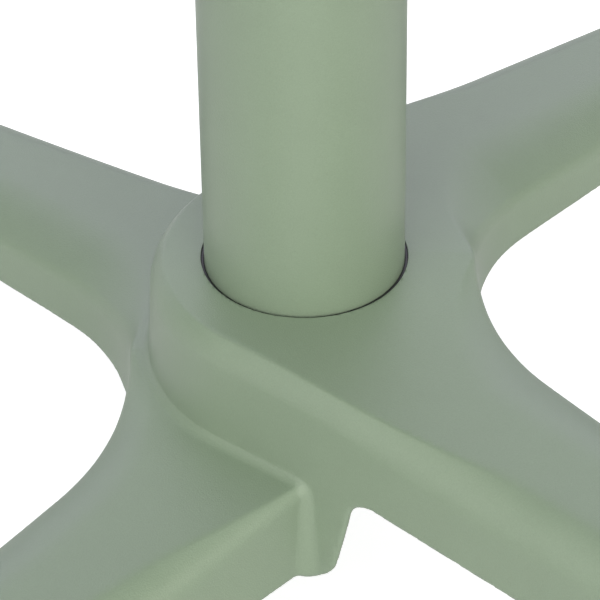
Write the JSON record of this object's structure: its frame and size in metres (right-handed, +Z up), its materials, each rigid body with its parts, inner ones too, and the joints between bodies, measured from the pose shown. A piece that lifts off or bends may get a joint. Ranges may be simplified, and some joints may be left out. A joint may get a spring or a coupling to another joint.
{
  "type": "tilting table base",
  "caption": "Pedestal table base with two stacked V legs in one casting, a round column, levelling feet and a tilting top bracket with a latch.",
  "frame": {"origin": "on the floor, at the centre of the base's footprint, on the column's axis", "axes": "+Z up along the column, +X midway between the two upper legs, Y to the side"},
  "size_m": [0.3962, 0.4318, 0.72],
  "materials": {
    "cast_green": "satin textured powder coat over cast aluminium",
    "tube_green": "satin textured powder coat over steel tube",
    "cast_plain": "as cast",
    "steel": "ground",
    "zinc_steel": "bright zinc plate",
    "spring_steel": "oiled dark",
    "bearing_plastic": "moulded",
    "black_plastic": "moulded, fine grain",
    "black_rubber": "matt"
  },
  "bodies": {
    "base": {"base_casting": "cast_green", "thread_inserts": "zinc_steel", "column_tube": "tube_green", "column_plug": "cast_plain", "locating_dowel": "steel", "centring_ring": "black_plastic", "tie_rod": "zinc_steel", "tie_rod_washer": "zinc_steel", "tie_rod_nut": "zinc_steel", "head_casting": "cast_green", "hinge_pin": "steel", "hinge_clips": "spring_steel", "latch_pin": "steel", "latch_clips": "spring_steel", "latch_spring": "spring_steel", "plate_buffers": "black_rubber"},
    "tilt_plate": {"tilt_plate": "cast_green", "hinge_bushes": "bearing_plastic", "keeper_pin": "steel"},
    "latch_lever": {"latch_lever": "zinc_steel", "lever_grip": "black_plastic"},
    "pad_back_right": {"glide_pad_back_right": "black_plastic"},
    "stem_back_right": {"glide_stem_back_right": "zinc_steel"},
    "pad_front_right": {"glide_pad_front_right": "black_plastic"},
    "stem_front_right": {"glide_stem_front_right": "zinc_steel"},
    "pad_back_left": {"glide_pad_back_left": "black_plastic"},
    "stem_back_left": {"glide_stem_back_left": "zinc_steel"},
    "pad_front_left": {"glide_pad_front_left": "black_plastic"},
    "stem_front_left": {"glide_stem_front_left": "zinc_steel"}
  },
  "joints": [
    {"name": "plate_tilt", "type": "hinge", "parent": "base", "child": "tilt_plate", "pos_m": [0.038, 0, 0.701], "axis": [0, 1, 0], "range_deg": [0, 90]},
    {"name": "latch_release", "type": "hinge", "parent": "base", "child": "latch_lever", "pos_m": [-0.086, 0, 0.683], "axis": [0, 1, 0], "range_deg": [0, 18], "stiffness_Nm_per_rad": 0.6, "springref_deg": -20.05, "deforming": ["latch_spring"]},
    {"name": "foot_height_back_right", "type": "slide", "parent": "base", "child": "pad_back_right", "axis": [0, 0, -1], "range_m": [0, 0.01]},
    {"name": "foot_turn_back_right", "type": "hinge", "parent": "pad_back_right", "child": "stem_back_right", "pos_m": [0.1782, 0.19368, 0.02], "axis": [0, 0, -1], "range_deg": [0, 2881]},
    {"name": "foot_height_front_right", "type": "slide", "parent": "base", "child": "pad_front_right", "axis": [0, 0, -1], "range_m": [0, 0.01]},
    {"name": "foot_turn_front_right", "type": "hinge", "parent": "pad_front_right", "child": "stem_front_right", "pos_m": [0.1782, -0.19368, 0.02], "axis": [0, 0, -1], "range_deg": [0, 2881]},
    {"name": "foot_height_back_left", "type": "slide", "parent": "base", "child": "pad_back_left", "axis": [0, 0, -1], "range_m": [0, 0.01]},
    {"name": "foot_turn_back_left", "type": "hinge", "parent": "pad_back_left", "child": "stem_back_left", "pos_m": [-0.17802, 0.19389, 0.02], "axis": [0, 0, -1], "range_deg": [0, 2881]},
    {"name": "foot_height_front_left", "type": "slide", "parent": "base", "child": "pad_front_left", "axis": [0, 0, -1], "range_m": [0, 0.01]},
    {"name": "foot_turn_front_left", "type": "hinge", "parent": "pad_front_left", "child": "stem_front_left", "pos_m": [-0.17802, -0.19389, 0.02], "axis": [0, 0, -1], "range_deg": [0, 2881]}
  ],
  "couplings": [
    {"joint": "foot_turn_back_right", "follows": "foot_height_back_right", "rad_per_m": 5026.5},
    {"joint": "foot_turn_front_right", "follows": "foot_height_front_right", "rad_per_m": 5026.5},
    {"joint": "foot_turn_back_left", "follows": "foot_height_back_left", "rad_per_m": 5026.5},
    {"joint": "foot_turn_front_left", "follows": "foot_height_front_left", "rad_per_m": 5026.5}
  ]
}
